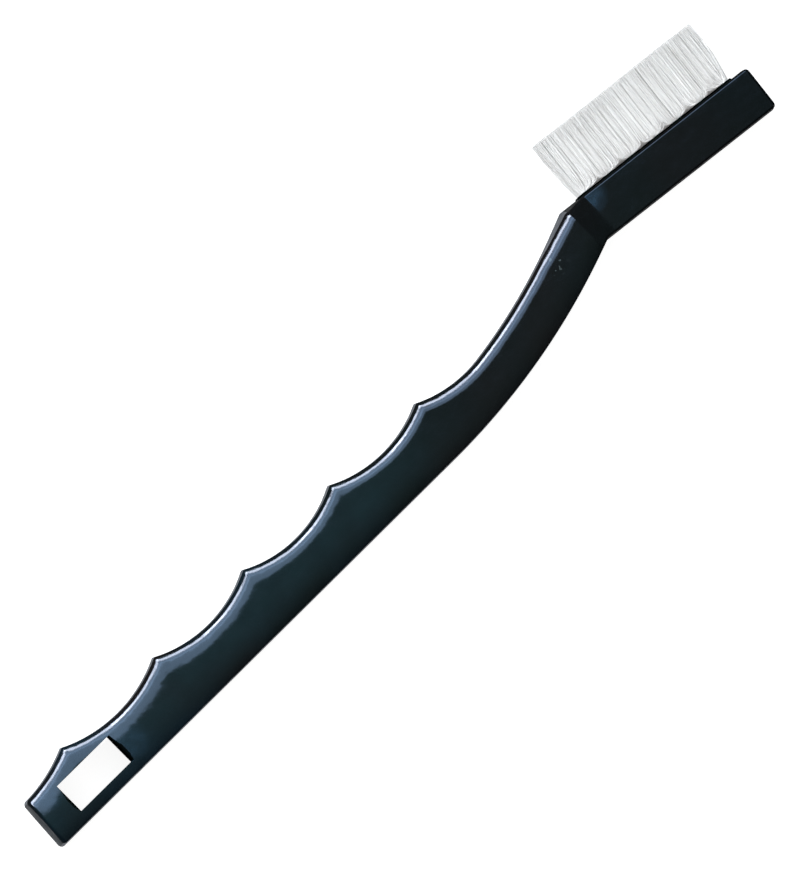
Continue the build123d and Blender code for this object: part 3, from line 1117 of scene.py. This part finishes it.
class Tuft:
    """One tuft, its filaments folded under the anchor and spread over its cell of the trimmed face."""

    def __init__(self, row_index, column, sizes, draw):
        row, count = ROWS[row_index]
        self.sizes = sizes
        self.draw = draw
        self.name = f"{row}_{column + 1}"
        self.mouth = mouth_of(self.name, sizes)
        self.row_offset = row_index - (len(ROWS) - 1) / 2
        self.column_offset = column - (count - 1) / 2
        self.cell = Vector((sizes.tip_length / count, sizes.tip_width / len(ROWS)))
        middle = (mouth_of("row1_1", sizes) + mouth_of("row1_7", sizes)) / 2
        middle -= HEAD_ACROSS * middle.dot(HEAD_ACROSS)
        level = self.mouth.dot(HEAD_ACROSS) - self.row_offset * sizes.row_pitch
        self.field_middle = middle + HEAD_ACROSS * level

    def layers(self, anchor_half):
        """Distance from the anchor, half length and filament count of each layer in the hole."""
        filament = self.sizes.filament
        reach = self.sizes.hole_diameter / 2 - filament / 2 - HOLE_CLEARANCE
        off = anchor_half + filament / 2 + ANCHOR_CLEARANCE
        layers = []
        while off < reach:
            half_chord = math.sqrt(reach**2 - off**2)
            layers.append((off, half_chord, int(2 * half_chord / (filament * ALONG_PITCH_SHARE)) + 1))
            off += filament * ACROSS_PITCH_SHARE
        return layers

    def mesh(self):
        """All filaments of the tuft, layer by layer on both sides of the anchor."""
        sizes = self.sizes
        anchor_low, anchor_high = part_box(f"anchor_{self.name}")
        anchor = (anchor_low + anchor_high) / 2
        layers = self.layers((anchor_high.z - anchor_low.z) / 2)
        total = sum(places for _, _, places in layers)
        radius = sizes.filament / 2
        mesh = bmesh.new()
        shade_layer = mesh.verts.layers.float.new("shade")
        planted = 0
        for index, (off, half_chord, places) in enumerate(layers):
            for place in range(places):
                share = (2 * place + 1) / places - 1
                along = HEAD_ALONG * share * half_chord
                fold = anchor + along - HEAD_UP * (sizes.anchor_height / 2 + radius + index * FOLD_STEP)
                legs = []
                for side in (1, -1):
                    aside = HEAD_ACROSS * side * off
                    across_share = side * ((planted + places * self.draw.random()) / total) ** CROWDING
                    leg = self.leg(self.mouth + along + aside, share, across_share)
                    legs.append([fold + aside + HEAD_UP * FOLD_RISE, *leg])
                path = legs[0][::-1] + [fold] + legs[1]
                tube_along(mesh, shade_layer, path, radius, sizes.sides, self.shades(path), HEAD_ALONG)
            planted += places
        return mesh

    def shades(self, path):
        """Shade of one filament along its path: its own random tone, with painted shade that darkens it
        towards its two cuts.
        """
        sizes = self.sizes
        tone = 1 - TONE_RANGE * self.draw.random()
        heights = [max(0, (point - self.mouth).dot(HEAD_UP) / sizes.trim) for point in path]
        shades = [tone * (1 - sizes.painted_tip_shade * height**PAINTED_TIP_SHADE_POWER) for height in heights]
        # Painted shade on the cut ends themselves
        shades[0] = shades[-1] = sizes.cut_shade
        return shades

    def leg(self, start, along_share, across_share):
        """Points of one standing filament, from inside the hole to its trimmed tip."""
        sizes, draw = self.sizes, self.draw
        half_length, half_width = sizes.tip_length / 2, sizes.tip_width / 2
        along = (self.column_offset + along_share / 2) * self.cell.x + draw.gauss(0, sizes.scatter)
        reach = 1 if self.row_offset else sizes.middle_reach
        across = (self.row_offset + across_share * reach / 2) * self.cell.y + draw.gauss(0, sizes.scatter)
        along = max(-half_length, min(half_length, along))
        across = max(-half_width, min(half_width, across))
        wander = Vector((along / SWAY_WAVES[0], across / SWAY_WAVES[1], SWAY_LAYER))
        sway = noise.noise(wander) * SWAY
        level = sizes.trim - abs(draw.gauss(0, LEVEL_SCATTER))
        level -= LEVEL_SCATTER * (1 + noise.noise(wander * LEVEL_WAVE_SHARE))
        level += sizes.tip_wave * (math.sin(2 * math.pi * along / sizes.tip_length) - 1) / 2
        tip = self.field_middle + HEAD_ALONG * along + HEAD_ACROSS * across + HEAD_UP * level
        end_share = max(0, along / half_length - BULGE_START_SHARE) / (1 - BULGE_START_SHARE)
        bend = HEAD_ALONG * (draw.gauss(0, BEND) + sway + end_share * sizes.end_bulge)
        bend += HEAD_ACROSS * draw.gauss(0, BEND)
        points = [start - HEAD_UP * ROOT_DEPTH]
        start = start + HEAD_UP * settings().sizes.rim_height
        points.append(start)
        rise = (tip - start).dot(HEAD_UP)
        aside = tip - start - HEAD_UP * rise
        from_end = min(1, (half_length - abs(along)) / self.cell.x)
        flare = LEAST_FLARE + (sizes.flare * draw.uniform(*FLARE_RANGE) - LEAST_FLARE) * from_end**2
        for share in HEIGHT_SHARES:
            spread = 1 - (1 - share) ** flare
            point = start + HEAD_UP * rise * share + aside * spread
            points.append(point + bend * math.sin(math.pi * share))
        return points


class CREVICEBRUSH_OT_tufts(bpy.types.Operator):
    """Plant every tuft with fine filaments, folded round its anchor"""

    bl_idname = "crevice_brush.tufts"
    bl_label = "Plant Tufts"

    def execute(self, context):
        sizes = settings().tufts
        material = nylon_material(sizes)
        draw = random.Random(sizes.seed)
        for row_index, (_, count) in enumerate(ROWS):
            for column in range(count):
                tuft = Tuft(row_index, column, sizes, draw)
                piece = object_from(f"filaments_{tuft.name}", tuft.mesh())
                piece.data.materials.append(material)
                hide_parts(f"tuft_{tuft.name}")
                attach(piece, "root")
        return {"FINISHED"}


class CREVICEBRUSH_OT_anchors(bpy.types.Operator):
    """Finish the flat metal anchors in drawn brass"""

    bl_idname = "crevice_brush.anchors"
    bl_label = "Finish Anchors"

    def execute(self, context):
        material = anchor_material(settings().anchors)
        for name in HOLE_NAMES:
            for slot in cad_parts[f"anchor_{name}"].material_slots:
                slot.material = material
        return {"FINISHED"}


def hang_softbox(softbox, studio):
    """Hangs a soft light that faces the brush, its bearing measured from the finger side to the butt."""
    data = bpy.data.lights.new(softbox.name, "AREA")
    data.shape = "RECTANGLE"
    data.size, data.size_y = softbox.size
    data.energy = softbox.share * getattr(studio, softbox.power)
    data.color = softbox.tint
    light = link_object(softbox.name, data)
    light.visible_glossy = softbox.mirrored
    bearing = math.radians(softbox.bearing)
    elevation = math.radians(softbox.elevation)
    level = Vector((-math.sin(bearing), math.cos(bearing), 0))
    place = (level * math.cos(elevation) + Vector((0, 0, math.sin(elevation)))) * softbox.distance
    light.location = place
    light.rotation_euler = (-place).to_track_quat("-Z", "Y").to_euler()


def floor_material(studio):
    """White floor that takes the brush's shadow and looks white to the eye and in reflections."""
    material, tree = new_material("floor_white")
    rays = add_node(tree, "ShaderNodeLightPath", {}).outputs
    kinds = ("Is Camera Ray", "Is Glossy Ray", "Is Transmission Ray")
    seen = join_values(tree, "MAXIMUM", *(rays[kind] for kind in kinds))
    paint = add_node(tree, "ShaderNodeBsdfDiffuse", {"Color": studio.floor_paint})
    glow = add_node(tree, "ShaderNodeEmission", {"Strength": span(tree, seen, 0, 1, 0, studio.floor_glow)})
    both = add_node(tree, "ShaderNodeAddShader", {0: paint.outputs["BSDF"], 1: glow.outputs["Emission"]})
    add_node(tree, "ShaderNodeOutputMaterial", {"Surface": both.outputs["Shader"]})
    return material


def room_light(studio):
    """Dim room, a little paler overhead and most so above the butt."""
    world = bpy.data.worlds.new("studio_room")
    bpy.context.scene.world = world
    tree = empty_tree(world)
    towards = add_node(tree, "ShaderNodeTexCoord", {}).outputs["Generated"]
    overhead = span(tree, part_of(tree, towards, "Z"), *CEILING_RANGE, 0, 1)
    over_butt = span(tree, part_of(tree, towards, "X"), *CEILING_FALL, 1, LEAST_CEILING)
    tint = mix_colours(tree, product(tree, overhead, over_butt), studio.room, studio.ceiling)
    background = add_node(tree, "ShaderNodeBackground", {"Color": tint})
    add_node(tree, "ShaderNodeOutputWorld", {"Surface": background.outputs["Background"]})


class CREVICEBRUSH_OT_stage(bpy.types.Operator):
    """Lay the pale floor and set the lights and the camera"""

    bl_idname = "crevice_brush.stage"
    bl_label = "Set Stage"

    def execute(self, context):
        studio = settings().studio
        self.lay_floor(studio)
        room_light(studio)
        for softbox in SOFTBOXES:
            hang_softbox(softbox, studio)
        self.place_camera(studio)
        context.scene.view_settings.view_transform = "Standard"
        return {"FINISHED"}

    def lay_floor(self, studio):
        """Round floor just under the brush."""
        mesh = bmesh.new()
        bmesh.ops.create_circle(mesh, cap_ends=True, segments=FLOOR_SIDES, radius=studio.floor_radius)
        floor = object_from("floor", mesh)
        floor.location.z = -FLOOR_DROP
        floor.data.materials.append(floor_material(studio))

    def place_camera(self, studio):
        """Distant camera over the near face, leaned to the butt and turned to the grip's slant."""
        data = bpy.data.cameras.new("camera")
        camera = link_object("camera", data)
        back = Vector((-math.sin(studio.tilt), 0, math.cos(studio.tilt)))
        along = Vector((math.cos(studio.tilt), 0, math.sin(studio.tilt)))
        across = back.cross(along)
        right = along * math.cos(studio.turn) - across * math.sin(studio.turn)
        up = along * math.sin(studio.turn) + across * math.cos(studio.turn)
        place = Vector(VIEW_TARGET) + back * studio.view_distance
        turn = Matrix((right, up, back)).transposed().to_4x4()
        camera.matrix_world = Matrix.Translation(place) @ turn
        data.lens = data.sensor_width * studio.view_distance / studio.view_height
        data.clip_start = NEAREST_SEEN
        data.clip_end = 2 * studio.view_distance
        bpy.context.scene.camera = camera


class BrushSettings(bpy.types.PropertyGroup):
    """All of the brush's sizes and finishes."""

    sizes: PointerProperty(type=HandleSizes)
    finish: PointerProperty(type=HandleFinish)
    tufts: PointerProperty(type=TuftSizes)
    anchors: PointerProperty(type=AnchorFinish)
    studio: PointerProperty(type=StudioSizes)


OPERATORS = (
    CREVICEBRUSH_OT_stage,
    CREVICEBRUSH_OT_handle,
    CREVICEBRUSH_OT_tufts,
    CREVICEBRUSH_OT_anchors,
)


class CREVICEBRUSH_PT_sidebar(bpy.types.Panel):
    """Lists the brush's settings and the steps that make it"""

    bl_idname = "CREVICEBRUSH_PT_sidebar"
    bl_label = "Crevice Brush"
    bl_space_type = "VIEW_3D"
    bl_region_type = "UI"
    bl_category = "Crevice Brush"

    def draw(self, context):
        brush = context.scene.crevice_brush
        for title, group in (
            ("Handle", brush.sizes),
            ("Plastic", brush.finish),
            ("Tufts", brush.tufts),
            ("Anchors", brush.anchors),
            ("Studio", brush.studio),
        ):
            box = self.layout.box()
            box.label(text=title)
            for key in group.__annotations__:
                box.prop(group, key)
        for operator in OPERATORS:
            self.layout.operator(operator.bl_idname)


CLASSES = (
    HandleSizes,
    HandleFinish,
    TuftSizes,
    AnchorFinish,
    StudioSizes,
    BrushSettings,
    *OPERATORS,
    CREVICEBRUSH_PT_sidebar,
)


def register():
    """Adds the classes and the scene's settings."""
    for cls in CLASSES:
        bpy.utils.register_class(cls)
    bpy.types.Scene.crevice_brush = PointerProperty(type=BrushSettings)


def unregister():
    """Takes the settings and the classes away again."""
    del bpy.types.Scene.crevice_brush
    for cls in reversed(CLASSES):
        bpy.utils.unregister_class(cls)


def main():
    """Makes the whole scene."""
    register()
    bpy.ops.crevice_brush.stage()
    bpy.ops.crevice_brush.handle()
    bpy.ops.crevice_brush.tufts()
    bpy.ops.crevice_brush.anchors()


if __name__ == "__main__":
    main()
